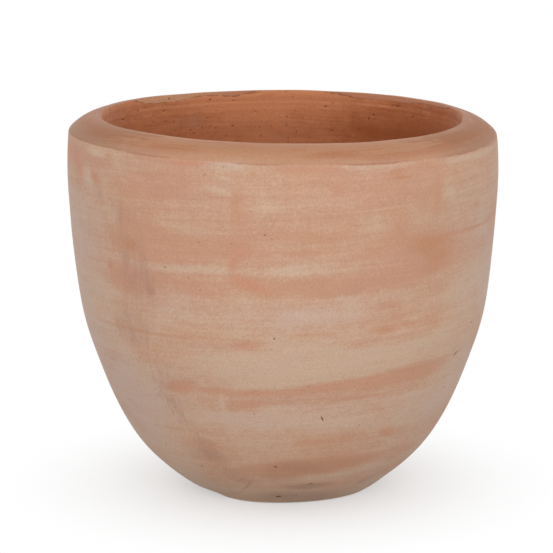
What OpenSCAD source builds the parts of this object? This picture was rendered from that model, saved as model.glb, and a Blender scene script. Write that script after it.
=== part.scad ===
// A thick-walled terracotta planter, thrown as one piece: a deep bowl on a small foot,
// an almost upright upper wall and a broad, full rim that rounds inwards to a narrow mouth.
// The whole pot is one revolved section, held by the stations that a potter's rib gives.

/* [Outline] */
// Height from the ground to the crest of the lip
pot_h = 350; // [320:1:420]
// Diameter at the widest place, just below the rim
pot_d = 400; // [394:1:440]
// Drop from the rim edge down to the widest place
widest_drop = 44; // [30:1:60]
// Diameter at the shoulder, where the bowl has become an almost upright wall
shoulder_d = 393; // [376:1:398]
// Height of the shoulder
shoulder_h = 241; // [190:1:255]
// Diameter at the belly
belly_d = 357; // [335:1:375]
// Height of the belly
belly_h = 138; // [115:1:165]
// Diameter at the haunch, where the bowl sweeps up from the foot
haunch_d = 252; // [225:1:290]
// Height of the haunch
haunch_h = 36; // [30:1:60]

/* [Rim] */
// Diameter of the rim edge, the outer end of the bevel
rim_edge_d = 396; // [385:1:410]
// Rise of the bevel from the rim edge to the crest of the lip
rim_rise = 14; // [6:0.5:25]
// Fullness of the bevel: 0 is a straight cone, 1 a curve that has become level at the crest
rim_fullness = 1; // [0:0.05:1]
// Radius that softens the rim edge
rim_edge_r = 4; // [1:0.5:8]
// Diameter of the crest of the lip, the inner end of the bevel
lip_d = 336; // [310:1:356]
// Radius of the crest of the lip
lip_r = 2; // [0.5:0.5:4]
// Width and height of the scraped chamfer inside the lip
lip_chamfer = 3.5; // [2:0.5:8]

/* [Wall and floor] */
// Thickness of the wall from the shoulder down
wall_t = 21; // [14:0.5:28]
// Thickness of the floor
floor_t = 24; // [16:0.5:32]
// Diameter of the flat of the floor, inside the pot
floor_d = 136; // [110:1:150]

/* [Foot] */
// Diameter of the foot
foot_d = 160; // [130:1:190]
// Radius that softens the edge of the foot
foot_edge_r = 12; // [2:1:20]
// Width of the flat ring that the pot stands on
foot_ring_w = 24; // [12:1:35]
// Depth of the shallow hollow turned inside that ring
foot_hollow = 3; // [1:0.5:6]
// Width of the slope between the ring and the hollow
foot_slope_w = 6; // [2:1:12]
// Diameter of the drain hole
drain_d = 28; // [15:1:45]

/* [Hidden] */
$fn = 144;
// Straight steps between two stations of a curve, and in a rounded corner
CURVE_STEPS = 10;
CORNER_STEPS = 5;

rim_edge_h = pot_h - rim_rise;

// Stations of the outer wall, as radius and height
outer_stations = [
    [foot_d / 2, 0],
    [haunch_d / 2, haunch_h],
    [belly_d / 2, belly_h],
    [shoulder_d / 2, shoulder_h],
    [pot_d / 2, rim_edge_h - widest_drop],
    [rim_edge_d / 2, rim_edge_h],
];

function unit(v) = v / norm(v);

// Direction of the parabola through a station and its two neighbours
function mid_direction(p, i) =
    let (back = p[i] - p[i - 1], ahead = p[i + 1] - p[i])
    (unit(back) * norm(ahead) + unit(ahead) * norm(back)) / (norm(back) + norm(ahead));

// Direction at any station, where an end mirrors its neighbour about the chord between them
function direction(p, i) =
    i == 0 ? 2 * unit(p[1] - p[0]) - mid_direction(p, 1) :
    i == len(p) - 1 ? 2 * unit(p[i] - p[i - 1]) - mid_direction(p, i - 1) :
    mid_direction(p, i);

// Point at share t of the smooth span from a to b, which leaves along da and arrives along db
function span_point(a, b, da, db, t) =
    let (reach = norm(b - a))
    a * (2 * pow(t, 3) - 3 * pow(t, 2) + 1) + da * reach * (pow(t, 3) - 2 * pow(t, 2) + t)
    + b * (3 * pow(t, 2) - 2 * pow(t, 3)) + db * reach * (pow(t, 3) - pow(t, 2));

// Smooth curve through all the stations p, with the directions d at them
function curve(p, d) = [
    for (i = [0 : len(p) - 2], step = [0 : CURVE_STEPS - 1])
        span_point(p[i], p[i + 1], d[i], d[i + 1], step / CURVE_STEPS),
    p[len(p) - 1],
];

// Arc of the given radius that replaces a corner, kept within half of both straight sides
function rounded(before, corner, after, radius) =
    let (
        back = unit(before - corner),
        ahead = unit(after - corner),
        half = acos(back * ahead) / 2,
        room = min(norm(before - corner), norm(after - corner)) / 2,
        cut = min(radius / tan(half), room),
        r = cut * tan(half),
        middle = corner + unit(back + ahead) * r / sin(half),
        from = corner + back * cut - middle,
        to = corner + ahead * cut - middle
    )
    [for (s = [0 : CORNER_STEPS])
        let (t = s / CORNER_STEPS)
        middle + unit(from * (1 - t) + to * t) * r];

outer_directions = [for (i = [0 : len(outer_stations) - 1]) direction(outer_stations, i)];
outer_wall = curve(outer_stations, outer_directions);
last = len(outer_wall) - 1;

// The inner wall keeps the wall's thickness at the haunch, belly and shoulder,
// then thickens inwards to the lip
function inset(i) = outer_stations[i] + wall_t * unit([-outer_directions[i].y, outer_directions[i].x]);

// The bevel swells above the straight line from the rim edge to the crest
crest = [lip_d / 2, pot_h];
rim_edge = outer_wall[last];
bevel = [for (step = [1 : CURVE_STEPS - 1])
    let (t = step / CURVE_STEPS)
    rim_edge * (1 - t) + crest * t + [0, rim_fullness * rim_rise * t * (1 - t)]];

lip_edge = crest - [lip_chamfer, lip_chamfer];
floor_edge = [floor_d / 2, floor_t];
inner_stations = [floor_edge, inset(1), inset(2), inset(3), lip_edge];
inner_directions = [
    [1, 0],
    for (i = [1 : len(inner_stations) - 2]) mid_direction(inner_stations, i),
    [0, 1],
];
inner_wall = curve(inner_stations, inner_directions);

ring_inside = foot_d / 2 - foot_ring_w;
section = concat(
    [
        [drain_d / 2, foot_hollow],
        [ring_inside - foot_slope_w, foot_hollow],
        [ring_inside, 0],
    ],
    rounded([ring_inside, 0], outer_wall[0], outer_wall[1], foot_edge_r),
    [for (i = [1 : last - 1]) outer_wall[i]],
    rounded(outer_wall[last - 1], rim_edge, bevel[0], rim_edge_r),
    bevel,
    rounded(bevel[len(bevel) - 1], crest, lip_edge, lip_r),
    [for (i = [len(inner_wall) - 1 : -1 : 0]) inner_wall[i]],
    [[drain_d / 2, floor_t]]
);

module pot() {
    color("#c8a188")
        rotate_extrude()
            polygon(section);
}

pot();
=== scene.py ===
import math
from collections import namedtuple

import bmesh
import bpy
import numpy as np
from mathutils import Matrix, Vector, noise
from mathutils.geometry import interpolate_bezier


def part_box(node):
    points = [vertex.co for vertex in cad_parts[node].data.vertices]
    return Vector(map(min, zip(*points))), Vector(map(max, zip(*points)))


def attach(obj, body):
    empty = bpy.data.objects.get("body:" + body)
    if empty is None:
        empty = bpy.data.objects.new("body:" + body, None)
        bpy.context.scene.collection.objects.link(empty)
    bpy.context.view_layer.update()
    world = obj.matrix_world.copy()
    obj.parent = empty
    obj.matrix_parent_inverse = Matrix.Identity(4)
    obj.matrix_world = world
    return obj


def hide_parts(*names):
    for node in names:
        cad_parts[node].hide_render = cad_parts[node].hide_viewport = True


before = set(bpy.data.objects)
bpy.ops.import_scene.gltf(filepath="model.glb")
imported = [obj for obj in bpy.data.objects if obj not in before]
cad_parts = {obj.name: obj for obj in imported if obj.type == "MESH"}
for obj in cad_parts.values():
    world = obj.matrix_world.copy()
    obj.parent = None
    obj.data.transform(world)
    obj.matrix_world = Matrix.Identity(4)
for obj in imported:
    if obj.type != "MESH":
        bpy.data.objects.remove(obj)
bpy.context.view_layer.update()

# The pot: one thick wall of thrown clay, turned from a section that runs from the drain hole out under
# the foot, up the bowl, over the full bevelled rim and down the inside to the floor. Both walls run fair
# through the stations of the potter's rib, given as radius and height in metres.
POT_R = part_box("pot")[1].x
POT_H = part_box("pot")[1].z
WALL_T = 0.021
DRAIN_R = 0.014
HOLLOW_H = 0.003
HOLLOW_R = 0.050
RING_IN_R = 0.056
FLOOR_H = 0.024
FLOOR_R = 0.068
RIM_EDGE_H = 0.336
RIM_EDGE_R = 0.1984
RIM_SWELL = 0.0036
LIP_R = 0.168
OUTER_STATIONS = [(0.080, 0.0), (0.126, 0.036), (0.1785, 0.138), (0.1965, 0.241), (POT_R, 0.292),
                  (RIM_EDGE_R, RIM_EDGE_H)]
# Stations where the wall keeps its thickness
HAUNCH, BELLY, SHOULDER = 1, 2, 3
LIP_STATIONS = [(LIP_R - 0.0022, POT_H - 0.022), (LIP_R - 0.0008, POT_H - 0.001)]
# How far from a corner its rounding starts, and the share of that way that its handles reach
HOLE_LOW_ROUND = 0.003
HOLE_TOP_ROUND = 0.004
FOOT_ROUND = 0.0028
RIM_ROUND = 0.0020
LIP_ROUND = 0.0011
CORNER_PULL = 0.55
# Lengths of one step along the section, points in a corner and steps in a quarter of a turn
WALL_STEP = 0.0026
RIM_STEP = 0.0020
INSIDE_STEP = 0.0055
LIP_STEP = 0.0015
FLOOR_STEP = 0.007
SLOPE_STEP = 0.003
RING_STEP = 0.004
HOLE_STEP = 0.004
CORNER_POINTS = 6
QUARTER_STEPS = 72
MERGE_GAP = 0.00002
# The parts of the surface
OUTSIDE, BEVEL, INSIDE = 0, 1, 2


def section_point(radius, height):
    return Vector((radius, 0.0, height))


def fair_direction(points, i):
    """Direction of the parabola through a station and its neighbours, mirrored at the two ends."""
    middle = min(max(i, 1), len(points) - 2)
    back = points[middle] - points[middle - 1]
    ahead = points[middle + 1] - points[middle]
    fair = back.normalized() * ahead.length + ahead.normalized() * back.length
    fair /= back.length + ahead.length
    if i == middle:
        return fair
    chord = back if i == 0 else ahead
    return 2 * chord.normalized() - fair


def fair_curve(points, step, last_step):
    """Smooth curve through the stations, with steps of their own in the last span."""
    curve = []
    for i in range(len(points) - 1):
        a, b = points[i], points[i + 1]
        handle = (b - a).length / 3
        span_step = last_step if i == len(points) - 2 else step
        count = max(2, round((b - a).length / span_step)) + 1
        span = interpolate_bezier(a, a + fair_direction(points, i) * handle,
                                  b - fair_direction(points, i + 1) * handle, b, count)
        curve += span[:-1]
    return curve + [points[-1]]


def swollen(a, b, swell, step):
    """Points from a towards b, without b, lifted between them by up to the swell."""
    count = max(1, round((b - a).length / step))
    shares = [i / count for i in range(count)]
    return [a.lerp(b, t) + section_point(0.0, 4 * swell * t * (1 - t)) for t in shares]


def straight(a, b, step):
    """Points from a towards b, without b."""
    return swollen(a, b, 0.0, step)


def softened(before, corner, after, distance):
    """Rounded corner that starts and ends the given distance away from it."""
    start = corner + (before - corner).normalized() * distance
    end = corner + (after - corner).normalized() * distance
    return interpolate_bezier(start, start.lerp(corner, CORNER_PULL), end.lerp(corner, CORNER_PULL), end,
                              CORNER_POINTS)


outer_points = [section_point(*station) for station in OUTER_STATIONS]
inner_points = [section_point(FLOOR_R, FLOOR_H)]
for i in (HAUNCH, BELLY, SHOULDER):
    upwards = fair_direction(outer_points, i).normalized()
    inner_points.append(outer_points[i] + WALL_T * section_point(-upwards.z, upwards.x))
inner_points += [section_point(*station) for station in LIP_STATIONS]
outer_wall = fair_curve(outer_points, WALL_STEP, RIM_STEP)
inner_wall = fair_curve(inner_points, INSIDE_STEP, LIP_STEP)
crest = section_point(LIP_R, POT_H)
rim_edge = outer_wall[-1]
bevel = swollen(rim_edge, crest, RIM_SWELL, RIM_STEP)
floor_edge = inner_wall[0]
ring_in = section_point(RING_IN_R, 0.0)
hollow_out = section_point(HOLLOW_R, HOLLOW_H)
hole_low = section_point(DRAIN_R, HOLLOW_H)
hole_top = section_point(DRAIN_R, FLOOR_H)

hole_edge_low = softened(hole_top, hole_low, hollow_out, HOLE_LOW_ROUND)
foot_edge = softened(ring_in, outer_wall[0], outer_wall[1], FOOT_ROUND)
rim_corner = softened(outer_wall[-3], rim_edge, bevel[2], RIM_ROUND)
lip_corner = softened(bevel[-1], crest, inner_wall[-2], LIP_ROUND)
hole_edge_top = softened(floor_edge, hole_top, hole_low, HOLE_TOP_ROUND)

# A corner stands in for the points of the curves next to it, and its halves belong to the two parts that
# meet there
HALF_CORNER = CORNER_POINTS // 2
section = {
    OUTSIDE: (hole_edge_low + straight(hole_edge_low[-1], hollow_out, FLOOR_STEP)[1:]
              + straight(hollow_out, ring_in, SLOPE_STEP) + straight(ring_in, foot_edge[0], RING_STEP)
              + foot_edge + outer_wall[1:-2] + rim_corner[:HALF_CORNER]),
    BEVEL: rim_corner[HALF_CORNER:] + bevel[2:] + lip_corner[:HALF_CORNER],
    INSIDE: (lip_corner[HALF_CORNER:] + inner_wall[-3:0:-1]
             + straight(floor_edge, hole_edge_top[0], FLOOR_STEP) + hole_edge_top
             + straight(hole_edge_top[-1], hole_edge_low[0], HOLE_STEP)[1:]),
}

clay = bmesh.new()
part_layer = clay.verts.layers.float.new("part")
way_layer = clay.verts.layers.float.new("way")
# Each vertex keeps its part of the surface, and for the material its way along the section
ring = []
for part_name, part_points in section.items():
    for point in part_points:
        vertex = clay.verts.new(point)
        vertex[part_layer] = part_name
        if ring:
            vertex[way_layer] = ring[-1][way_layer] + (point - ring[-1].co).length
        ring.append(vertex)
for start, end in zip(ring, ring[1:] + ring[:1]):
    clay.edges.new((start, end))
# One quarter is turned and then repeated, which is quicker than one full turn
bmesh.ops.spin(clay, geom=clay.verts[:] + clay.edges[:], cent=(0, 0, 0), axis=(0, 0, 1),
               angle=math.tau / 4, steps=QUARTER_STEPS)
bmesh.ops.spin(clay, geom=clay.verts[:] + clay.edges[:] + clay.faces[:], cent=(0, 0, 0), axis=(0, 0, 1),
               angle=math.tau * 3 / 4, steps=3, use_duplicate=True)
bmesh.ops.remove_doubles(clay, verts=clay.verts[:], dist=MERGE_GAP)
bmesh.ops.recalc_face_normals(clay, faces=clay.faces[:])
for face in clay.faces:
    face.smooth = True

# Pits and slits in the clay, where grog or a root burnt out: azimuth in degrees from the front and
# positive to the right, height in mm, width and height of the pit in mm, and its slant in degrees.
OUTER_PITS = [
    (-4.5, 274, 2.0, 1.4, 0), (-13, 265, 1.8, 1.2, -30), (-32, 239, 1.8, 1.4, 0),
    (-18, 200, 1.6, 1.3, 0), (-2.5, 180, 1.3, 2.2, 0), (27, 225, 1.5, 1.3, 0), (37, 296, 1.2, 1.4, 0),
    (38, 300, 1.0, 1.2, 0), (12, 101, 1.3, 7, 26), (-9, 106, 1.2, 1.8, 0), (25, 91, 1.6, 1.4, 0),
    (7, 134, 1.8, 1.2, 0), (60, 144, 8.5, 2.0, 32), (60, 111, 2, 1.2, 0), (66, 170, 3, 1.5, 0),
    (-3, 50, 2.6, 1.8, 0), (12, 28, 5, 1.6, 0), (-2.5, 11, 6, 2.6, 10), (7, 13, 2.0, 1.3, 0),
    (-54, 170, 1.8, 1.4, 0), (-36, 104, 1.6, 1.3, 0), (-48, 60, 2, 1.4, 0), (-34, 44, 1.8, 1.3, 0),
    (-65, 285, 1.8, 1.3, 0), (-61, 290, 1.5, 1.3, 0), (-28, 109, 1.5, 1.3, 0), (-45, 150, 1.5, 1.2, 0),
    (-34, 145, 1.5, 1.2, 0), (31, 246, 1.3, 1.5, 0), (-20, 324, 1.5, 1.3, 0), (-15, 332, 1.6, 1.2, 0),
    (4, 318, 1.3, 1.2, 0), (20, 335.8, 1.4, 0.8, 0), (23.5, 335.8, 1.0, 0.8, 0),
    (27.5, 335.8, 1.5, 0.8, 0), (30, 335.8, 1.0, 0.8, 0), (33, 335.8, 1.2, 0.8, 0),
]
INNER_PITS = [
    (-139, 347, 2.4, 1.5, 0), (165, 335, 3.2, 1.2, -20), (147, 330, 1.4, 2.8, 20),
    (149, 326, 1.5, 3.0, 15), (153, 314, 2.0, 1.6, 0), (155, 325, 1.4, 1.4, 0), (143, 337, 1.6, 1.5, 0),
    (137, 341, 3.2, 1.4, -15), (130, 333, 2.2, 1.8, 0), (123, 338, 1.8, 1.6, 0), (124, 327, 1.6, 1.6, 0),
    (115, 331, 1.6, 1.4, 0), (137, 314, 1.6, 1.4, 0), (139, 308, 2.0, 1.6, 0), (151, 336, 1.6, 1.4, 0),
    (-127, 341, 1.6, 1.5, 0), (-124, 339, 2.0, 1.6, 0), (-131, 332, 1.6, 1.5, 0),
    (-136, 336, 2.0, 1.6, 0), (-115, 334, 4.0, 1.5, 10), (-155, 343, 2.6, 1.3, 0),
    (-151, 331, 1.5, 1.4, 0), (-157, 332, 1.5, 1.4, 0), (-154, 325, 1.7, 1.5, 0),
    (-157, 315, 1.7, 1.5, 0), (-163, 316, 1.9, 1.6, 0), (-161, 306, 2.0, 1.7, 0),
    (-149, 311, 2.0, 1.8, 0), (-143, 310, 1.9, 1.7, 0), (-171, 329, 1.5, 1.4, 0),
]
PIT_DEPTH = 0.0011
# Pits of a smaller area, in square mm, get less painted shade and are paler
FULL_SHADE_PIT_AREA = 3.0
# Finer faces go this far past the edge of a pit, and no pit goes further than the limit from its middle
PIT_REACH = 0.003
PIT_LIMIT = 0.012
PIT_CUTS = 3
# How sharply the edges of pits and marks fall off
OVAL_POWER = 1.5
MM_PER_METRE = 1000
# More pits, drawn at random on the far side of the wall and all round the inside
BACK_PITS = 34
INSIDE_PITS = 40
chance = np.random.default_rng(12)
for _ in range(BACK_PITS):
    OUTER_PITS.append((chance.uniform(80, 280), chance.uniform(20, 325), chance.uniform(1.4, 3.2),
                       chance.uniform(1.2, 2.0), chance.uniform(-25, 25)))
for _ in range(INSIDE_PITS):
    INNER_PITS.append((chance.uniform(-180, 180), chance.uniform(255, 342), chance.uniform(1.2, 1.8),
                       chance.uniform(1.1, 1.6), 0))
Pit = namedtuple("Pit", "azimuth level width tall slant")
pits = [(outer_wall, 1, Pit(*numbers)) for numbers in OUTER_PITS]
pits += [(inner_wall, -1, Pit(*numbers)) for numbers in INNER_PITS]


def pit_place(wall_points, facing, pit):
    """Middle of a pit on its wall, the wall's outward direction there and its direction to the right."""
    pit_turn = math.radians(pit.azimuth)
    pit_height = pit.level / MM_PER_METRE
    wall_radius = float(np.interp(pit_height, [point.z for point in wall_points],
                                  [point.x for point in wall_points]))
    away = Vector((math.sin(pit_turn), -math.cos(pit_turn), 0.0))
    sideways = Vector((math.cos(pit_turn), math.sin(pit_turn), 0.0))
    pit_middle = away * wall_radius + Vector((0, 0, pit_height))
    return np.array(pit_middle), np.array(away * facing), np.array(sideways)


def soft_oval(along, across):
    """Nearly 1 inside an oval whose edge is at 1 along and across, and falling off softly past it."""
    return np.exp(-(along ** 2 + across ** 2) ** OVAL_POWER)


centres = np.array([face.calc_center_median() for face in clay.faces])
clay.faces.ensure_lookup_table()
clay.edges.index_update()
clay.edges.ensure_lookup_table()
near_pits = set()
for wall_points, facing, pit in pits:
    finer_reach = PIT_REACH + max(pit.width, pit.tall) / 2 / MM_PER_METRE
    gaps = np.linalg.norm(centres - pit_place(wall_points, facing, pit)[0], axis=1)
    near_pits.update(np.flatnonzero(gaps < finer_reach).tolist())
pit_edges = {edge.index for face_index in near_pits for edge in clay.faces[face_index].edges}
bmesh.ops.subdivide_edges(clay, edges=[clay.edges[edge_index] for edge_index in sorted(pit_edges)],
                          cuts=PIT_CUTS, use_grid_fill=True)
place = np.array([vertex.co for vertex in clay.verts])
part = np.array([round(vertex[part_layer]) for vertex in clay.verts])
pit_shade = np.zeros(len(place))
sunk = np.zeros_like(place)
for wall_points, facing, pit in pits:
    pit_middle, outward, sideways = pit_place(wall_points, facing, pit)
    slant = math.radians(pit.slant)
    apart = place - pit_middle
    along = apart @ sideways
    across = apart[:, 2]
    long_share = (along * math.cos(slant) + across * math.sin(slant)) / (pit.width / 2 / MM_PER_METRE)
    short_share = (across * math.cos(slant) - along * math.sin(slant)) / (pit.tall / 2 / MM_PER_METRE)
    hollow = soft_oval(long_share, short_share)
    hollow[np.linalg.norm(apart, axis=1) > PIT_LIMIT] = 0
    sunk -= hollow[:, None] * PIT_DEPTH * outward
    pit_shade = np.maximum(pit_shade, hollow * min(1.0, pit.width * pit.tall / FULL_SHADE_PIT_AREA))

# The marks of the hand: the rim was trimmed by eye, so it leans and wavers and its edge is rounder on
# the right. The lip was scraped on the inside, the foot was set down before it was dry, and the fingers
# left rings inside. Each is a small move of the turned clay.
RIM_LEAN = 0.0117
LIP_LEAN = 0.0080
RIM_TWIST = -0.00069
BACK_DROP = 0.0008
LIP_SHIFT = -0.0012
BOWL_SHIFT = 0.0007
RIM_WAVER = 0.0003
WAVER_COUNTS = (3, 5, 8, 13, 21)
WOBBLE = 0.0004
WOBBLE_SIZE = 0.09
FINGER_RINGS = 0.0004
FINGER_PITCH = 0.026
# Where these moves start and end, as heights in metres or, at the back, as degrees from the front
LEAN_OUTSIDE = (0.20, RIM_EDGE_H)
LEAN_INSIDE = (0.22, POT_H)
WAVER_UP = (0.30, RIM_EDGE_H)
BACK_TURN = (110, 160)
BOWL_FOOT = (0.0, 0.03)
BOWL_TOP = (0.17, 0.25)
WOBBLE_UP = (0.0, 0.05)
RINGS_LOW = (0.03, 0.06)
RINGS_TOP = (0.315, 0.335)
# Lines inside the lip: how far below its crest, half the width and how deep
THROWING_LINES = [(0.0095, 0.0014, 0.0005), (0.0150, 0.0016, 0.0003)]
# Swells of the wall: height, half the width and how far they stand out
WALL_SWELLS = [(0.168, 0.035, 0.0010), (0.268, 0.025, -0.0006), (0.045, 0.025, 0.0004)]
# Dents of the foot: azimuth, half the width in degrees, how far they stand out, and where they fade
FOOT_DENTS = [(-61, 16, -0.0072, 0.001, 0.008), (-22, 18, 0.0020, 0.001, 0.008),
              (58, 26, 0.0024, 0.003, 0.018)]
FOOT_RADII = (0.050, 0.075)
# Extra rounding of the rim's edge, with its azimuth and half its width in degrees
EDGE_PUSH = 0.0004
EDGE_REACH = 0.007
EDGE_TURN = 80
EDGE_SPREAD = 55
EDGE_INWARDS = 0.83
EDGE_DOWN = 0.56
# Scraped facets inside the lip: azimuth, half the width in degrees and strength
SCRAPES = [(-135.5, 10.5, 1.0), (-157, 15, 0.5), (136, 25, 0.75), (-60, 25, 0.6), (20, 30, 0.7)]
SCRAPE_CUT = 0.0032
SCRAPE_DEPTH = 0.0052
SCRAPE_LEAST = 0.4
SCRAPE_UNEVEN = 0.25
SCRAPE_UNEVEN_SIZE = 0.012
SCRAPE_UNEVEN_STRETCH = 2.5
SCRAPE_FADE = (0.006, 0.05)
SCRAPE_EDGE = (0.9, 1.1)
# Power of a bell with a flat top
FLAT_TOP = 4


def smooth_step(low, high, value):
    """0 up to low and 1 from high, with soft ends between them."""
    share = np.clip((value - low) / (high - low), 0.0, 1.0)
    return share * share * (3 - 2 * share)


def bell(gap, half, power=2):
    """1 where there is no gap, falling off past half the width, with a flatter top at a higher power."""
    return np.exp(-(gap / half) ** power)


def apart_from(degrees):
    """Angle in degrees of every vertex from an azimuth, between -180 and 180."""
    return (azimuth - degrees + 180) % 360 - 180


def vertex_noise(size, stretch):
    """Noise from about -1 to 1 at every vertex, with features of the given size, longer round the pot."""
    scale = np.array([1 / (size * stretch), 1 / (size * stretch), 1 / size])
    return np.array([noise.noise(point) for point in (place * scale).tolist()])


radius = np.hypot(place[:, 0], place[:, 1])
height = place[:, 2].copy()
azimuth = np.degrees(np.arctan2(place[:, 0], -place[:, 1]))
from_front = np.abs(azimuth)
turn = np.radians(azimuth)
rim_share = np.clip((radius - LIP_R) / (RIM_EDGE_R - LIP_R), 0.0, 1.0)
rim_share[part == OUTSIDE] = 1
rim_share[part == INSIDE] = 0
at_rim = np.ones(len(place))
at_rim[part == OUTSIDE] = smooth_step(*LEAN_OUTSIDE, height[part == OUTSIDE])
at_rim[part == INSIDE] = smooth_step(*LEAN_INSIDE, height[part == INSIDE])
lean = LIP_LEAN + (RIM_LEAN - LIP_LEAN) * rim_share
waver = sum(np.sin(count * turn + count * count) / math.sqrt(count) for count in WAVER_COUNTS)
lift = at_rim * (RIM_TWIST * np.sin(2 * turn) - lean * place[:, 0])
lift -= at_rim * BACK_DROP * smooth_step(*BACK_TURN, from_front)
lift += RIM_WAVER * waver * smooth_step(*WAVER_UP, height)

rings = np.where(part == INSIDE, np.sin(math.tau * height / FINGER_PITCH + turn), 0.0)
rings *= smooth_step(*RINGS_LOW, height) * (1 - smooth_step(*RINGS_TOP, height))
push = WOBBLE * vertex_noise(WOBBLE_SIZE, 1.0) * smooth_step(*WOBBLE_UP, height) + FINGER_RINGS * rings
for drop, half, depth in THROWING_LINES:
    push += np.where(part == INSIDE, depth * bell(POT_H - height - drop, half), 0)
for swell_height, half, swell in WALL_SWELLS:
    push += np.where(part == OUTSIDE, swell * bell(height - swell_height, half), 0)
for dent_turn, half, dent, low, high in FOOT_DENTS:
    near_foot = (1 - smooth_step(low, high, height)) * smooth_step(*FOOT_RADII, radius)
    push += np.where(part == OUTSIDE, dent * near_foot * bell(apart_from(dent_turn), half), 0)

scrape = sum(amount * bell(apart_from(scrape_turn), half, FLAT_TOP)
             for scrape_turn, half, amount in SCRAPES)
scrape_depth = SCRAPE_DEPTH * (SCRAPE_LEAST + (1 - SCRAPE_LEAST) * scrape)
scrape_depth *= 1 + SCRAPE_UNEVEN * vertex_noise(SCRAPE_UNEVEN_SIZE, SCRAPE_UNEVEN_STRETCH)
below_lip = POT_H - height
facet = np.clip(below_lip / scrape_depth, 0, 1) * (1 - smooth_step(*SCRAPE_FADE, below_lip))
push -= np.where(part == INSIDE, SCRAPE_CUT * scrape * facet, 0)
scraped = np.minimum(1, 2 * scrape) * (1 - smooth_step(*SCRAPE_EDGE, below_lip / scrape_depth))
scraped[part != INSIDE] = 0

edge_gap = np.hypot(radius - RIM_EDGE_R, height - RIM_EDGE_H)
rounding = EDGE_PUSH * bell(apart_from(EDGE_TURN), EDGE_SPREAD) * bell(edge_gap, EDGE_REACH)
rounding[part == INSIDE] = 0
push -= EDGE_INWARDS * rounding
lift -= EDGE_DOWN * rounding

bowl_shift = BOWL_SHIFT * smooth_step(*BOWL_FOOT, height) * (1 - smooth_step(*BOWL_TOP, height))
bowl_shift[part != OUTSIDE] = 0
moved = place + sunk
moved[:, 0] += push * np.sin(turn) + at_rim * LIP_SHIFT * (1 - rim_share) + bowl_shift
moved[:, 1] -= push * np.cos(turn)
moved[:, 2] = np.maximum(moved[:, 2] + lift, 0.0)
for vertex, point in zip(clay.verts, moved):
    vertex.co = point

pot_mesh = bpy.data.meshes.new("pot_clay")
clay.to_mesh(pot_mesh)
clay.free()
pot = bpy.data.objects.new("pot_clay", pot_mesh)
bpy.context.scene.collection.objects.link(pot)
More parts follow.
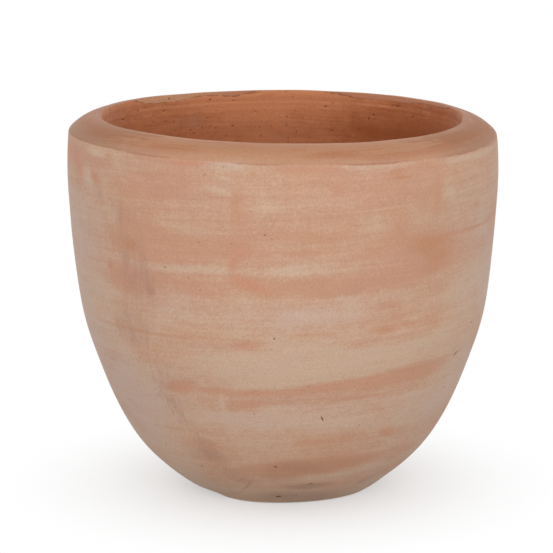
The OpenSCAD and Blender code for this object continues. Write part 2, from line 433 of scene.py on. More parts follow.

# The wash on the pot: a thin pale slip wiped round with a sponge in level bands and a few upright
# smears, so that salmon clay shows where it was wiped away. Some marks here are painted light and shade:
# a sheen at the limbs, shade near the foot, at the sides of the bevel and inside, and light inside.

# Each mark of the sponge is an azimuth in degrees, a height in mm, half its length in degrees, half its
# height in mm, its rise in mm for each degree, and how much it adds. These are wash left on or, below 0,
# wiped away.
PALE_MARKS = [
    (-15, 332, 6, 5, 0, 0.55), (-31, 333.5, 12, 2.5, 0, -0.6), (7, 331.5, 8, 3.5, 0, -0.6),
    (58, 331, 18, 3, -0.02, 0.35), (20, 333.5, 9, 1.8, 0, 0.22), (-64, 320, 9, 9, 0, -0.25),
    (-58, 329, 5, 4, 0, 0.45), (-70, 330, 7, 6, 0, -0.3), (40, 329, 6, 5, 0, -0.3),
    (-61, 307, 3.5, 11, -0.5, 0.45), (-50, 277, 2.6, 9, 0, 0.35), (-46, 318, 2.5, 5, -4, 0.25),
    (-57, 308, 3, 5, 0, -0.4), (-30, 314, 12, 12, 0, -0.2), (-15.5, 310, 4, 3.5, -0.5, 0.3),
    (-5, 298, 2.4, 14, 0, 0.22), (-15, 322, 4, 2.2, 0, 0.3), (-11.3, 298, 1.8, 18, 0, -0.25),
    (-25, 262, 12, 10, 0, -0.35), (-11.5, 260, 4, 9, 0, -0.35), (-42, 264, 10, 18, 0, -0.5),
    (-32, 254, 15, 12, 0, -0.5), (-22, 240, 17, 4, 0.03, 0.4), (2.5, 243, 7, 5, 0, 0.45),
    (-10, 231, 4.5, 8, -1, -0.35), (-24, 225, 17, 11, 0.1, -0.35), (10, 228, 17, 9, 0.25, -0.35),
    (36, 234, 17, 11, 0.3, -0.5), (29, 256, 9, 15, 0, -0.25), (-58, 206, 7, 26, 0, 0.25),
    (-6, 184, 24, 12, 0, 0.2), (-46, 222, 8, 16, 0, -0.35), (36, 318, 34, 15, 0, -0.25),
    (44, 252, 9, 13, 0, -0.45), (55, 264, 15, 1.8, 0, -0.6), (60, 250, 10, 12, 0, -0.1),
    (5, 272, 10, 5, 0, -0.4), (4, 258.5, 7, 3, 0, -0.35), (31, 281, 3, 12, 0, -0.2),
    (14, 315, 1.8, 6, 0, -0.3), (47, 306, 2.6, 13, -0.5, 0.3), (43, 300, 1.2, 20, -1, -0.35),
    (24.3, 282, 1.0, 20, 0, 0.15), (60, 300, 14, 20, 0, 0.15), (31, 324, 5, 6, 0, -0.35),
    (42, 292, 5, 9, 0, -0.2), (12, 206, 16, 11, 0.15, 0.3), (-26, 200, 14, 8, 0, 0.1),
    # The broad marks from about 80 to 92 degrees either side are paler wash at the limbs, partly a painted
    # sheen
    (27.5, 207, 3, 4, 0, -0.3), (62, 215, 12, 14, 0.3, 0.35), (-84, 66, 20, 26, 0, 0.4),
    (-92, 112, 29, 18, 0.05, 0.4), (-80, 162, 21, 26, 0, 0.45), (-88, 204, 32, 20, 0.05, 0.4),
    (-80, 243, 20, 26, 0, 0.42), (-88, 284, 28, 18, 0, 0.4), (86, 130, 20, 24, 0, 0.3),
    (86, 188, 28, 20, 0, 0.35), (84, 226, 18, 24, 0, 0.3), (-10, 175, 4, 6, 0, -0.35),
    (8, 182.5, 8, 2.8, 0, -0.4), (28, 185, 4, 3.2, 0, -0.8), (36, 186.5, 2.6, 1.8, 0, -0.6),
    (44, 184, 4, 6, 0, -0.25), (-46, 176, 16, 1.5, 0, -0.45), (-24, 178, 12, 1.8, 0.1, -0.25),
    (5, 160, 22, 11, 0.1, 0.4), (27, 162, 20, 8, 0.25, 0.3), (47, 168, 13, 8, 0.25, 0.25),
    (14, 147, 18, 6, 0.25, 0.3), (-14, 148, 10, 7, 0, 0.2), (-9, 127, 12, 3.2, 0.2, -0.55),
    (12, 132, 15, 6.5, 0.35, -0.55), (42, 138, 16, 8, 0.22, -0.6), (26, 131, 6, 7, 0.25, -0.35),
    (-32, 128, 4.6, 6, 0.5, -0.8), (-23, 127, 5, 3, 0.2, -0.45), (-12, 115, 7, 7, 0, -0.3),
    (-19, 115, 1.2, 9, 0, 0.35), (6, 119, 24, 1.5, 0.08, -0.35), (37, 113, 13, 7, 0, 0.1),
    (-8, 97, 28, 9, 0, 0.35), (25, 94, 14, 8, 0, 0.2), (52, 100, 13, 16, 0, 0.35),
    (-52, 105, 13, 34, 0, 0.5), (17, 76, 10, 7, 0, -0.3), (7, 77, 3, 5, 0, -0.3),
    (37, 80, 4.5, 5, 0, -0.45), (37, 73, 6, 2.2, -1, 0.35), (-26, 68, 10, 9, 0, -0.2),
    (16, 52, 19, 8, 0.05, -0.75), (48, 53, 12, 6, 0, -0.25), (14, 36, 15, 2.8, 0.14, 1.3),
    (38, 40.5, 10, 3, 0.1, 0.6), (-47, 42, 12, 26, 0, 0.4), (-4, 44, 12, 8, 0, -0.6),
    (62, 127, 13, 22, 0, 0.4), (-50, 98, 9, 18, 0, 0.2), (-10, 138, 10, 7, 0, 0.25),
    (-5, 110, 11, 5, 0, 0.25), (-56, 166, 7, 15, 0, 0.2), (0, 140, 30, 30, 0, 0.1),
    (-40, 157, 9, 9, 0, -0.3), (-68, 306, 5, 12, 0, -0.3), (-45, 306, 5, 8, 0, -0.3),
    (25, 172, 14, 5, 0, -0.2), (15, 217, 6, 5, 0, 0.2), (66, 262, 6, 22, 0, 0.25),
    (-48, 90, 9, 14, 0, 0.2), (-25, 54, 7, 7, 0, -0.25), (30, 17, 16, 7, 0, -0.25),
    (-25, 9, 12, 6, 0, -0.3), (50, 115, 14, 36, 0, 0.1), (55, 203, 9, 7, 0, 0.2),
    (24, 146, 28, 4.5, 0.25, 0.25),
]
# Salmon stains
WARM_MARKS = [
    (-24, 333, 7, 3, 0, 0.6), (7, 331.5, 9, 3.2, 0, 0.45), (-67, 310, 4, 11, -3, 0.45),
    (-72, 322, 7, 14, 0, 0.45), (-79, 316, 6, 20, 0, 0.4), (-11, 258, 4.5, 9, 0, 0.5),
    (-13, 246, 1.5, 7, 0, 0.55), (-9, 231, 5.5, 8, -1, 0.58), (-4, 222, 4, 4, -0.3, 0.4),
    (-46, 218, 8, 13, 0, 0.35), (-52, 180, 1.6, 7, -1.5, 0.5), (-10, 174.5, 3.4, 5, 0, 0.4),
    (-9, 127.5, 8, 2.6, 0.2, 0.45), (-33, 126, 4, 3.6, 0.3, 0.65), (42, 135, 10, 3.5, 0.1, 0.4),
    (55, 262, 14, 3, 0, 0.3), (8, 182.5, 6, 2.2, 0, 0.25), (0, 49, 7, 8, 0, 0.5),
    (-25.5, 68, 1.8, 4, 0.5, 0.35), (-22, 257, 8, 3, 0, 0.25),
]
# Orange stains, where the clay is bare
ORANGE_MARKS = [
    (43, 250, 9, 14, 0, 0.4), (45.5, 245.5, 3.5, 5.5, 0, 0.5), (42, 260, 4, 3, 0, 0.35),
    (38, 233, 8, 6, 0, 0.2), (40, 264, 14, 15, 0, 0.15), (36, 278, 14, 7, 0, 0.2),
    (45, 235, 8, 8, 0, 0.35), (38, 263, 9, 9, 0, 0.35), (3, 42, 11, 15, 0, 0.35),
    (40.5, 256, 2.2, 9, 0, 0.35), (30, 328, 3, 3.5, 0, 0.6), (31, 322, 3.4, 1.4, 0, 0.8),
    (-11.3, 298, 1.8, 18, 0, 0.45), (-28, 314, 12, 10, 0, 0.3), (-57.3, 308, 2.2, 4.5, 0, 0.65),
    (-42.3, 255, 3.5, 6, 0, 0.6), (-46, 258, 6, 10, 0, 0.3), (-52.3, 232.5, 1.6, 3, 0, 0.7),
    (-46, 224, 8, 14, 0, 0.2), (-23, 228, 3.2, 3.2, 0, 0.4), (5, 272, 9, 4.5, 0, 0.25),
    (31, 281, 3, 12, 0, 0.15), (14, 315, 1.8, 6, 0, 0.35), (28, 185, 3, 2.8, 0, 0.75),
    (36, 186.5, 2.6, 1.6, 0, 0.4), (44, 184, 4, 5, 0, 0.25), (12, 132, 12, 5, 0.35, 0.3),
    (40, 140.5, 12, 2.2, 0.2, 0.45), (-12, 115, 6, 6, 0, 0.25), (27.5, 207, 3, 4, 0, 0.3),
    (14, 51, 22, 8, 0.05, 0.6), (-57.5, 147, 1.7, 1.8, 0, 0.6), (17, 76, 8, 6, 0, 0.25),
    (37, 80, 4.5, 4.5, 0, 0.35), (38, 320, 14, 8, 0, 0.25), (38, 298, 1.6, 8, 0, 0.3),
    (-34, 272, 5, 3, 0, 0.35),
]
# Grey soil
GREY_MARKS = [
    (-46, 180, 9, 22, 0, 0.42), (-41, 224, 8, 24, 0, 0.3), (-44, 264, 9, 22, 0, 0.25),
    (-45.8, 240, 1.2, 14, 0, 0.25), (-38.6, 250, 1.2, 12, 0, 0.25), (-37.5, 219, 1.2, 20, 0, 0.25),
    (-41.8, 215, 1.2, 22, 0, 0.2), (-47, 285, 5, 14, 0, 0.25), (-55, 294, 3, 10, 0, 0.35),
    (-38, 126, 6, 28, 0, 0.3), (-33, 92, 6, 20, -1, 0.25), (-27, 64, 5, 14, -1, 0.5),
    (-20, 36, 9, 9, -0.8, 0.45), (-28, 13, 6, 1.6, 0.35, 0.4), (-20, 20, 5, 1.6, 1.4, 0.4),
    (-16.5, 26, 3, 1.8, 2, 0.35), (41, 25, 6, 5, 0.5, 0.5), (-60, 139.5, 3, 3, 0, 0.45),
    (-55, 95, 2, 4, 0, 0.35), (9, 50, 0.9, 7, 0, 0.35), (13, 51, 0.9, 8, 0, 0.35),
    (-147, 322, 7, 12, 0, 0.5),
]
# Cooler or, below 0, creamier wash; the two tall marks at the limbs, about 82 degrees either side, are
# partly a painted sheen
COOL_WASH_AND_SHEEN_MARKS = [
    (-82, 200, 32, 150, 0, 0.7), (84, 195, 26, 130, 0, 0.6), (-10, 203, 40, 14, 0, 0.6),
    (-52, 95, 16, 40, 0, 0.6), (55, 95, 16, 26, 0, 0.3), (-15, 332, 7, 5, 0, 0.6),
    (-10, 100, 16, 10, 0, 0.4), (180, 170, 60, 110, 0, 0.4), (14, 36, 18, 5, 0, -0.5),
    (0, 130, 60, 55, 0, 0.3), (24, 146, 30, 6, 0.25, -0.7),
]
# Grime round the foot, partly painted shade of the low bowl near the floor
GRIME_AND_SHADE_MARKS = [
    (12, 8, 28, 14, 0, 0.55), (12, 25.5, 14, 4, 0, 0.6), (-12, 12, 16, 10, 0, 0.2),
    (15, 51, 20, 8, 0, 0.3), (2, 42, 14, 20, 0, 0.3), (-30, 58, 10, 12, 0, 0.35),
    (180, 8, 110, 14, 0, 0.4),
]
# Smears on the bevel, where the height of a mark is its distance from the axis
BEVEL_MARKS = [
    (58, 184, 9, 6, 0, 1.2), (86, 186, 8, 5, 0, 1.1), (80, 194, 7, 4, 0, 1.1), (30, 194, 9, 4, 0, 1.0),
    (47, 192, 9, 4, 0, 1.0), (12, 190, 9, 4, 0, 0.5), (-35, 191, 12, 5, 0, 0.5),
    (-60, 188, 10, 6, 0, 0.4), (68, 178, 8, 5, 0, -0.5), (40, 182, 12, 6, 0, -0.4),
    (72, 190, 4, 6, 0, -0.5), (140, 186, 12, 6, 0, 0.4), (-130, 184, 14, 6, 0, 0.4),
    (-170, 190, 9, 5, 0, 0.35),
]
# Painted shade and light of the inside, darker on the right and lighter at the back: azimuth, half the width
# in degrees and how much darker
INSIDE_SHADE_AND_LIGHT = [(122, 40, 0.5), (186, 22, -0.35), (-150, 10, 0.1), (-114, 14, 0.15), (0, 60, 0.1)]
# More marks, drawn at random on the far side
BACK_MARKS = 60
BACK_STAINS = 7
for _ in range(BACK_MARKS):
    PALE_MARKS.append((chance.uniform(85, 275), chance.uniform(40, 330), chance.uniform(6, 26),
                       chance.uniform(4, 15), chance.uniform(-0.1, 0.2),
                       chance.choice([-0.4, -0.3, 0.25, 0.35])))
for marks in (WARM_MARKS, ORANGE_MARKS, GREY_MARKS):
    for _ in range(BACK_STAINS):
        marks.append((chance.uniform(85, 275), chance.uniform(50, 320), chance.uniform(3, 9),
                      chance.uniform(4, 12), chance.uniform(-0.3, 0.3), chance.uniform(0.3, 0.6)))
# The sponge's edges wander, by so many mm upwards or degrees sideways, in waves of a size in metres that
# are longer round the pot. A mark shorter or lower than a full one wanders less.
UPWARD_WAVES = [(3.0, 0.022, 2.5), (1.5, 0.009, 2.0)]
SIDEWAYS_WAVES = [(3.0, 0.030, 1.0)]
FULL_LENGTH = 8
FULL_HEIGHT = 5


def wander(waves):
    """How far the sponge's edges have wandered at every vertex."""
    return sum(amount * vertex_noise(size, stretch) for amount, size, stretch in waves)


wander_up = wander(UPWARD_WAVES)
wander_round = wander(SIDEWAYS_WAVES)


def mark_sum(marks, levels):
    """Sum of the marks of the sponge at every vertex, whose level in mm is given."""
    total = np.zeros(len(azimuth))
    for mark_turn, mark_level, half_length, half_height, rise, amount in marks:
        along = apart_from(mark_turn) + wander_round * min(1.0, half_length / FULL_LENGTH)
        across = levels - mark_level - rise * along + wander_up * min(1.0, half_height / FULL_HEIGHT)
        total += amount * soft_oval(along / half_length, across / half_height)
    return total


def keep_on_mesh(name, *channels):
    """Keeps four values from 0 to 1 for every vertex, for the material to read."""
    kept = pot_mesh.attributes.new(name, "FLOAT_COLOR", "POINT")
    kept.data.foreach_set("color", np.stack(channels, 1).clip(0, 1).astype(np.float32).ravel())


# The rim line is the way from the crease, in along the bevel or down the wall, kept over this range. On
# the right the bare clay starts lower.
RIM_LINE_RANGE = 0.040
CREASE_DROP = 0.0050
CREASE_DROP_TURN = 90
CREASE_DROP_SPREAD = 15
# Painted shade on the bevel at the two sides, from and to these degrees from the front, and weaker on the
# right
SIDE_SHADE_START = (20, 70)
SIDE_SHADE_END = (100, 150)
RIGHT_SIDE_SHADE = 0.7
# The sandy place of the scraped lip, with half its width in degrees
SANDY_TURN = -138
SANDY_SPREAD = 22
# How much wash there is before the marks, what it loses up the wall and gains at the foot, and the most
PALE_LOW = 0.51
PALE_LOSS = 0.12
PALE_LOSS_UP = (0.15, 0.25)
FOOT_DUST = 0.35
FOOT_DUST_UP = (0.012, 0.030)
PALE_MOST = 0.88
# How dark the inside is before its painted shade and light, and the painted light that makes it lighter near
# the lip
INSIDE_TONE = 0.45
LIP_LIGHT = 0.2
LIP_LIGHT_UP = (0.322, 0.342)
level = height * MM_PER_METRE
rim_line = np.where(part == BEVEL, RIM_EDGE_R - radius, height - RIM_EDGE_H)
rim_line += CREASE_DROP * bell(azimuth - CREASE_DROP_TURN, CREASE_DROP_SPREAD)
rim_line[part == INSIDE] = RIM_LINE_RANGE / 2
shade_and_grime = smooth_step(*SIDE_SHADE_START, from_front) * (1 - smooth_step(*SIDE_SHADE_END, from_front))
shade_and_grime *= np.where(azimuth > 0, RIGHT_SIDE_SHADE, 1.0)
# On the wall this mask is the grime and painted shade of the foot
shade_and_grime = np.where(part == OUTSIDE, mark_sum(GRIME_AND_SHADE_MARKS, level), shade_and_grime)
sandy = bell(apart_from(SANDY_TURN), SANDY_SPREAD, FLAT_TOP)
foot_dust = FOOT_DUST * (1 - smooth_step(*FOOT_DUST_UP, height))
pale_base = PALE_LOW - PALE_LOSS * smooth_step(*PALE_LOSS_UP, height)
pale = np.minimum(pale_base + mark_sum(PALE_MARKS, level) + foot_dust, PALE_MOST)
inside_shading = INSIDE_TONE - LIP_LIGHT * smooth_step(*LIP_LIGHT_UP, height)
inside_shading += sum(amount * bell(apart_from(tone_turn), half) for tone_turn, half, amount in INSIDE_SHADE_AND_LIGHT)
# Inside, the tone is how dark the inside is, with its painted shade and light; outside, how cool the wash
# is, partly a painted sheen at the limbs
shading_and_cool = np.where(part == INSIDE, inside_shading, mark_sum(COOL_WASH_AND_SHEEN_MARKS, level))
keep_on_mesh("wash", pale, mark_sum(WARM_MARKS, level), mark_sum(GREY_MARKS, level),
             mark_sum(ORANGE_MARKS, level))
keep_on_mesh("parts", 0.5 + rim_line / RIM_LINE_RANGE, part == INSIDE, scraped, pit_shade)
keep_on_mesh("rim", mark_sum(BEVEL_MARKS, radius * MM_PER_METRE), shade_and_grime, sandy, shading_and_cool)

# The clay as a material: the wash over salmon clay outside, bare tan clay on the bevel, deeper bare clay
# inside and sandy clay where the lip was scraped, with the sponge's fine lines and the grain of the grog.
PEACH_CLAY = (0.550, 0.298, 0.184)
ROSE_CLAY = (0.540, 0.285, 0.186)
CREAM_WASH = (0.584, 0.402, 0.284)
# Cooler wash, which at the limbs is also a painted sheen
COOL_WASH_AND_SHEEN = (0.566, 0.398, 0.318)
WARM_CLAY = (0.566, 0.250, 0.154)
ORANGE_CLAY = (0.520, 0.248, 0.138)
GREY_SOIL = (0.405, 0.222, 0.156)
# Grime and painted shade of the foot
FOOT_GRIME_AND_SHADE = (0.400, 0.238, 0.155)
BARE_TAN = (0.474, 0.222, 0.114)
TAN_SMEAR = (0.420, 0.150, 0.060)
# Painted shade for the sides of the bevel
TAN_SIDE_SHADE = (0.352, 0.132, 0.047)
CREASE_RED = (0.390, 0.162, 0.098)
BARE_DEEP = (0.600, 0.230, 0.100)
# Darker smears of the inside, which also serve as its painted shade
DEEP_SMEAR_AND_SHADE = (0.400, 0.118, 0.033)
RED_SPECK = (0.150, 0.042, 0.015)
SANDY_CLAY = (0.500, 0.240, 0.120)
SCRAPED_CLAY = (0.445, 0.168, 0.078)
PIT_DARK = (0.130, 0.045, 0.020)
# The sponge's lines climb this much towards the right
WIPE_SLOPE = 0.05
LEAST_SMEAR = 0.2
# Specks: cells in a metre, size as a share of a cell, share of the cells that hold one, and strength
INSIDE_SPECKS = [(110, 0.13, 0.6, 0.8), (170, 0.13, 0.45, 0.8), (330, 0.18, 0.5, 0.6)]
OUTSIDE_SPECKS = (95, 0.09, 0.18, 0.5)
SPECK_CORE = 0.4

terracotta = bpy.data.materials.new("terracotta")
terracotta.use_nodes = True
nodes = terracotta.node_tree.nodes
links = terracotta.node_tree.links
shader = nodes["Principled BSDF"]
coordinates = nodes.new("ShaderNodeTexCoord").outputs["Object"]


def feed(socket, value):
    if isinstance(value, bpy.types.NodeSocket):
        links.new(value, socket)
    else:
        socket.default_value = value


def math_node(operation, *values):
    made = nodes.new("ShaderNodeMath")
    made.operation = operation
    for socket, value in zip(made.inputs, values):
        feed(socket, value)
    return made.outputs[0]


def scaled(vector, scale):
    """A vector with its own scale along each axis, per metre."""
    mapping = nodes.new("ShaderNodeMapping")
    links.new(vector, mapping.inputs["Vector"])
    mapping.inputs["Scale"].default_value = scale
    return mapping.outputs["Vector"]


def noise_node(vector, scale, detail, rough):
    made = nodes.new("ShaderNodeTexNoise")
    links.new(scaled(vector, scale), made.inputs["Vector"])
    made.inputs["Scale"].default_value = 1.0
    made.inputs["Detail"].default_value = detail
    made.inputs["Roughness"].default_value = rough
    return made.outputs["Fac"]


def ramp(value, low, high):
    """Smooth mask that is 0 at low and 1 at high."""
    made = nodes.new("ShaderNodeMapRange")
    made.interpolation_type = "SMOOTHSTEP"
    feed(made.inputs["Value"], value)
    made.inputs["From Min"].default_value = low
    made.inputs["From Max"].default_value = high
    return made.outputs["Result"]


def blend(mask, base, top):
    made = nodes.new("ShaderNodeMix")
    made.data_type = "RGBA"
    feed(made.inputs["Factor"], mask)
    for socket, colour in ((made.inputs["A"], base), (made.inputs["B"], top)):
        feed(socket, colour if isinstance(colour, bpy.types.NodeSocket) else (*colour, 1.0))
    return made.outputs["Result"]


def tint(mask, strength, base, top):
    """The base with the top colour over it, at the given strength where the mask is full."""
    return blend(math_node("MULTIPLY", mask, strength), base, top)


def attribute_node(name):
    made = nodes.new("ShaderNodeAttribute")
    made.attribute_name = name
    return made.outputs


def kept_masks(name):
    """The four values kept in an attribute of the mesh."""
    kept = attribute_node(name)
    split = nodes.new("ShaderNodeSeparateColor")
    links.new(kept["Color"], split.inputs["Color"])
    return *split.outputs, kept["Alpha"]


def varied(mask, *fields):
    """The mask plus shares of noises, each taken about its middle."""
    for share, field in fields:
        mask = math_node("MULTIPLY_ADD", math_node("SUBTRACT", field, 0.5), share, mask)
    return mask


def specked(base, top, scale, size, kept_share, strength):
    """The base with small round grains of the top colour in some of the cells of a Voronoi texture."""
    cells = nodes.new("ShaderNodeTexVoronoi")
    links.new(coordinates, cells.inputs["Vector"])
    cells.inputs["Scale"].default_value = scale
    lot = nodes.new("ShaderNodeSeparateColor")
    links.new(cells.outputs["Color"], lot.inputs["Color"])
    chosen = math_node("LESS_THAN", lot.outputs["Red"], kept_share)
    grains = math_node("MULTIPLY", ramp(cells.outputs["Distance"], size, SPECK_CORE * size), chosen)
    return tint(grains, strength, base, top)


# The sponge and the fingers went round the pot, so their lines follow the way along the section
place_parts = nodes.new("ShaderNodeSeparateXYZ")
links.new(coordinates, place_parts.inputs["Vector"])
wiped_place = nodes.new("ShaderNodeCombineXYZ")
links.new(place_parts.outputs["X"], wiped_place.inputs["X"])
links.new(place_parts.outputs["Y"], wiped_place.inputs["Y"])
links.new(math_node("MULTIPLY_ADD", place_parts.outputs["X"], -WIPE_SLOPE, attribute_node("way")["Fac"]),
          wiped_place.inputs["Z"])
wiped = wiped_place.outputs["Vector"]
pale_mask, warm_mask, grey_mask, orange_mask = kept_masks("wash")
rim_mask, inside_mask, scrape_mask, pit_shade_mask = kept_masks("parts")
smear_mask, shade_and_grime_mask, sandy_mask, shading_and_cool_mask = kept_masks("rim")
# Each noise has its waves in a metre along the three axes, its detail and its roughness
lines = noise_node(wiped, (14, 14, 420), 4.0, 0.65)
bands = noise_node(wiped, (5, 5, 60), 4.0, 0.6)
blots = noise_node(wiped, (15, 15, 34), 4.0, 0.6)
mottle = noise_node(coordinates, (70, 70, 90), 5.0, 0.8)
uprights = noise_node(coordinates, (260, 260, 8), 3.0, 0.6)
grain = noise_node(coordinates, (600, 600, 600), 2.0, 0.6)
hues = noise_node(wiped, (6, 6, 16), 3.0, 0.6)

# The wall: wash over bare clay, and then the stains, the soil, and the grime and painted shade of the foot
pale_cover = varied(pale_mask, (0.6, lines), (0.65, bands), (0.85, blots), (0.8, mottle), (0.5, grain))
cool_and_sheen_cover = varied(shading_and_cool_mask, (1.2, hues), (0.6, blots), (0.8, mottle))
warm_cover = varied(warm_mask, (0.5, lines), (0.6, blots), (0.6, mottle))
orange_cover = varied(orange_mask, (0.5, lines), (0.6, blots), (0.6, mottle))
grey_cover = varied(grey_mask, (0.4, lines), (0.5, blots), (0.8, uprights), (0.9, mottle))
soiled = ramp(grey_cover, 0.08, 0.95)
bare = blend(ramp(hues, 0.35, 0.65), PEACH_CLAY, ROSE_CLAY)
# The cooler wash at the limbs is partly a painted sheen
washed = blend(ramp(cool_and_sheen_cover, 0.0, 1.0), CREAM_WASH, COOL_WASH_AND_SHEEN)
wall = blend(ramp(pale_cover, 0.0, 1.0), bare, washed)
wall = blend(ramp(warm_cover, 0.1, 0.95), wall, WARM_CLAY)
wall = blend(ramp(orange_cover, 0.1, 0.95), wall, ORANGE_CLAY)
wall = blend(soiled, wall, GREY_SOIL)
# Grime and painted shade near the foot
wall = blend(ramp(varied(shade_and_grime_mask, (0.6, blots), (0.5, mottle)), 0.1, 0.9), wall, FOOT_GRIME_AND_SHADE)

# The bevel and the inside: bare clay, smeared by the fingers, with painted shade at the sides of the one and
# specks on the other
smeared = varied(math_node("ADD", smear_mask, LEAST_SMEAR), (1.0, blots), (1.6, lines), (1.4, mottle))
# Painted shade darkens the bevel towards its two sides
bevel_side_shade = varied(shade_and_grime_mask, (1.2, blots), (1.2, lines), (1.0, mottle))
# Inside, the darker smears also carry painted shade on the right and painted light at the back and near the
# lip
deep_smears_and_shade = varied(shading_and_cool_mask, (0.9, blots), (1.0, lines), (1.2, mottle))
tan = blend(ramp(smeared, 0.1, 0.9), BARE_TAN, TAN_SMEAR)
tan = blend(ramp(bevel_side_shade, 0.2, 0.9), tan, TAN_SIDE_SHADE)
deep = blend(ramp(deep_smears_and_shade, 0.0, 1.0), BARE_DEEP, DEEP_SMEAR_AND_SHADE)
deep = tint(soiled, 0.5, deep, GREY_SOIL)
for specks in INSIDE_SPECKS:
    deep = specked(deep, RED_SPECK, *specks)

# The bare clay starts at the crease and grows stronger up the bevel, and the crease is a broken red line
rim_place = varied(rim_mask, (0.05, blots), (0.03, mottle))
on_rim = math_node("MULTIPLY", ramp(rim_place, 0.49, 0.51),
                   math_node("MULTIPLY_ADD", ramp(rim_place, 0.5, 0.85), 0.5, 0.5))
from_crease = math_node("ABSOLUTE", math_node("SUBTRACT", rim_place, 0.5))
in_crease = math_node("MULTIPLY", ramp(from_crease, 0.036, 0.008), ramp(varied(0.5, (2.4, blots)), 0.3, 0.8))
colour = blend(on_rim, wall, tan)
colour = tint(in_crease, 0.7, colour, CREASE_RED)
colour = specked(colour, PIT_DARK, *OUTSIDE_SPECKS)
colour = blend(inside_mask, colour, deep)

# The scraped facets are grainy and end in a broken dark edge, and the pits are painted dark, as shade, over
# all the rest
on_scrape = ramp(varied(scrape_mask, (1.0, grain), (0.8, mottle)), 0.25, 0.6)
scrape_place = varied(scrape_mask, (0.6, grain), (0.4, mottle))
scrape_line = math_node("MULTIPLY", ramp(scrape_place, 0.15, 0.35), ramp(scrape_place, 0.65, 0.45))
line_breaks = ramp(varied(0.5, (1.5, mottle), (1.0, grain)), 0.3, 0.5)
sanded = blend(sandy_mask, SCRAPED_CLAY, SANDY_CLAY)
sanded = tint(ramp(grain, 0.6, 0.3), 0.55, sanded, CREASE_RED)
colour = blend(on_scrape, colour, sanded)
colour = tint(math_node("MULTIPLY", scrape_line, line_breaks), 0.6, colour, RED_SPECK)
# Painted shade in the pits
colour = blend(ramp(pit_shade_mask, 0.2, 0.8), colour, PIT_DARK)
shade = nodes.new("ShaderNodeHueSaturation")
links.new(colour, shade.inputs["Color"])
links.new(varied(1.0, (0.35, grain), (0.10, mottle), (0.10, lines), (0.10, bands)), shade.inputs["Value"])
links.new(shade.outputs["Color"], shader.inputs["Base Color"])
shader.inputs["Roughness"].default_value = 0.75
shader.inputs["Specular IOR Level"].default_value = 0.4
shader.inputs["Sheen Weight"].default_value = 0.10
bump = nodes.new("ShaderNodeBump")
bump.inputs["Strength"].default_value = 0.4
bump.inputs["Distance"].default_value = 0.0006
links.new(varied(0.0, (0.5, lines), (0.6, grain), (0.5, mottle)), bump.inputs["Height"])
links.new(bump.outputs["Normal"], shader.inputs["Normal"])
pot_mesh.materials.append(terracotta)
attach(pot, "root")
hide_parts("pot")

# The studio: a plain pale floor that keeps the shadow of the pot, a large soft lamp in front of it and a
# weaker one behind, and a white surround for the camera.
FLOOR_SIZE = 8.0
FLOOR_WHITE = (0.95, 0.95, 0.95)
FLOOR_BOUNCE = (0.60, 0.59, 0.58)
SHADOW_REACH = (0.05, 0.28)
SHADOW_SHARE = 0.55
HORIZON_LIGHT = 1.0
ZENITH_LIGHT = 0.64
# Each lamp has its place, its diameter and its watts
LAMPS = {"key": ((0.15, -3.1, 1.1), 2.4, 32.5), "fill": ((-0.2, 3.1, 0.7), 1.6, 12)}
LAMP_TARGET = (0, 0, 0.2)

floor_mesh = bpy.data.meshes.new("floor")
sweep = bmesh.new()
bmesh.ops.create_grid(sweep, x_segments=1, y_segments=1, size=FLOOR_SIZE / 2)
sweep.to_mesh(floor_mesh)
sweep.free()
floor = bpy.data.objects.new("floor", floor_mesh)
bpy.context.scene.collection.objects.link(floor)


def seen_directly(tree):
    """1 for rays from the camera, a gloss or glass, and 0 for light on its way to the pot."""
    path = tree.nodes.new("ShaderNodeLightPath")
    most = path.outputs["Is Camera Ray"]
    for ray in ("Is Glossy Ray", "Is Transmission Ray"):
        either = tree.nodes.new("ShaderNodeMath")
        either.operation = "MAXIMUM"
        tree.links.new(most, either.inputs[0])
        tree.links.new(path.outputs[ray], either.inputs[1])
        most = either.outputs[0]
    return most


floor_paint = bpy.data.materials.new("floor")
floor_paint.use_nodes = True
painted = floor_paint.node_tree
painted.nodes.remove(painted.nodes["Principled BSDF"])
seen = seen_directly(painted)
paint = painted.nodes.new("ShaderNodeMix")
paint.data_type = "RGBA"
paint.inputs["A"].default_value = (*FLOOR_BOUNCE, 1.0)
paint.inputs["B"].default_value = (*FLOOR_WHITE, 1.0)
painted.links.new(seen, paint.inputs["Factor"])
matt = painted.nodes.new("ShaderNodeBsdfDiffuse")
painted.links.new(paint.outputs["Result"], matt.inputs["Color"])
white = painted.nodes.new("ShaderNodeEmission")
# Away from the pot the floor turns to plain white, for what sees it directly
floor_place = painted.nodes.new("ShaderNodeTexCoord")
from_pot = painted.nodes.new("ShaderNodeVectorMath")
from_pot.operation = "LENGTH"
painted.links.new(floor_place.outputs["Object"], from_pot.inputs[0])
fade = painted.nodes.new("ShaderNodeMapRange")
fade.interpolation_type = "SMOOTHSTEP"
fade.inputs["From Min"].default_value = SHADOW_REACH[0]
fade.inputs["From Max"].default_value = SHADOW_REACH[1]
fade.inputs["To Min"].default_value = 1 - SHADOW_SHARE
painted.links.new(from_pot.outputs["Value"], fade.inputs["Value"])
white_share = painted.nodes.new("ShaderNodeMath")
white_share.operation = "MULTIPLY"
painted.links.new(fade.outputs["Result"], white_share.inputs[0])
painted.links.new(seen, white_share.inputs[1])
floor_finish = painted.nodes.new("ShaderNodeMixShader")
painted.links.new(white_share.outputs[0], floor_finish.inputs["Fac"])
painted.links.new(matt.outputs["BSDF"], floor_finish.inputs[1])
painted.links.new(white.outputs["Emission"], floor_finish.inputs[2])
painted.links.new(floor_finish.outputs["Shader"], painted.nodes["Material Output"].inputs["Surface"])
floor_mesh.materials.append(floor_paint)

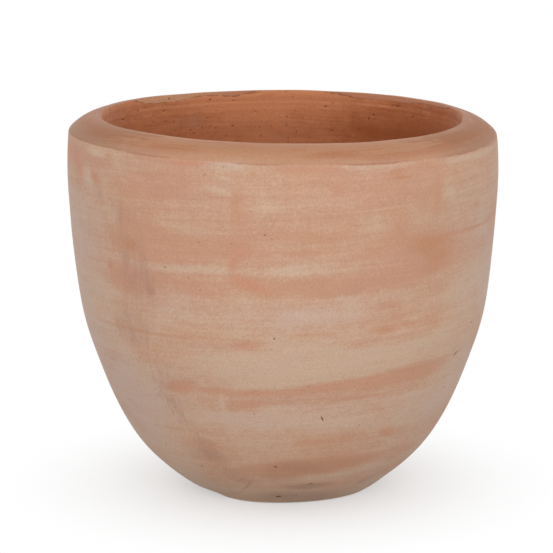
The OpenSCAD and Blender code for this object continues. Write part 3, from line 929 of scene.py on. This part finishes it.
world = bpy.data.worlds.new("studio")
bpy.context.scene.world = world
world.use_nodes = True
sky = world.node_tree
aim = sky.nodes.new("ShaderNodeTexCoord")
aim_parts = sky.nodes.new("ShaderNodeSeparateXYZ")
sky.links.new(aim.outputs["Generated"], aim_parts.inputs["Vector"])
dome = sky.nodes.new("ShaderNodeMapRange")
dome.inputs["To Min"].default_value = HORIZON_LIGHT
dome.inputs["To Max"].default_value = ZENITH_LIGHT
sky.links.new(aim_parts.outputs["Z"], dome.inputs["Value"])
sky_level = sky.nodes.new("ShaderNodeMapRange")
sky_level.inputs["To Max"].default_value = 1.0
sky.links.new(dome.outputs["Result"], sky_level.inputs["To Min"])
sky.links.new(seen_directly(sky), sky_level.inputs["Value"])
sky.nodes["Background"].inputs["Color"].default_value = (1.0, 1.0, 1.0, 1.0)
sky.links.new(sky_level.outputs["Result"], sky.nodes["Background"].inputs["Strength"])

for name, (stand, size, watts) in LAMPS.items():
    lamp = bpy.data.lights.new(name, "AREA")
    lamp.shape = "DISK"
    lamp.size = size
    lamp.energy = watts
    holder = bpy.data.objects.new(name, lamp)
    holder.location = stand
    holder.rotation_euler = (Vector(LAMP_TARGET) - Vector(stand)).to_track_quat("-Z", "Y").to_euler()
    bpy.context.scene.collection.objects.link(holder)

# The camera: a long lens some way off, a little above the pot, at the photograph's angle. The lens is
# shifted sideways, because the axis of the pot is a few pixels from the middle of the frame.
PHOTO_SIDE = 553
FOCAL_PIXELS = 3000
AXIS_PIXEL = 282.9
SENSOR_WIDTH = 36.0
CAMERA_DISTANCE = 2.809
CAMERA_ELEVATION = math.radians(11.6)
AIM = Vector((0.0, 0.0, 0.1971))
camera_data = bpy.data.cameras.new("camera")
camera_data.sensor_width = SENSOR_WIDTH
camera_data.lens = SENSOR_WIDTH * FOCAL_PIXELS / PHOTO_SIDE
camera_data.shift_x = -(AXIS_PIXEL - PHOTO_SIDE / 2) / PHOTO_SIDE
camera = bpy.data.objects.new("camera", camera_data)
to_camera = Vector((0.0, -math.cos(CAMERA_ELEVATION), math.sin(CAMERA_ELEVATION)))
camera.location = AIM + to_camera * CAMERA_DISTANCE
camera.rotation_euler = (-to_camera).to_track_quat("-Z", "Y").to_euler()
bpy.context.scene.collection.objects.link(camera)
bpy.context.scene.camera = camera
bpy.context.scene.view_settings.view_transform = "Standard"
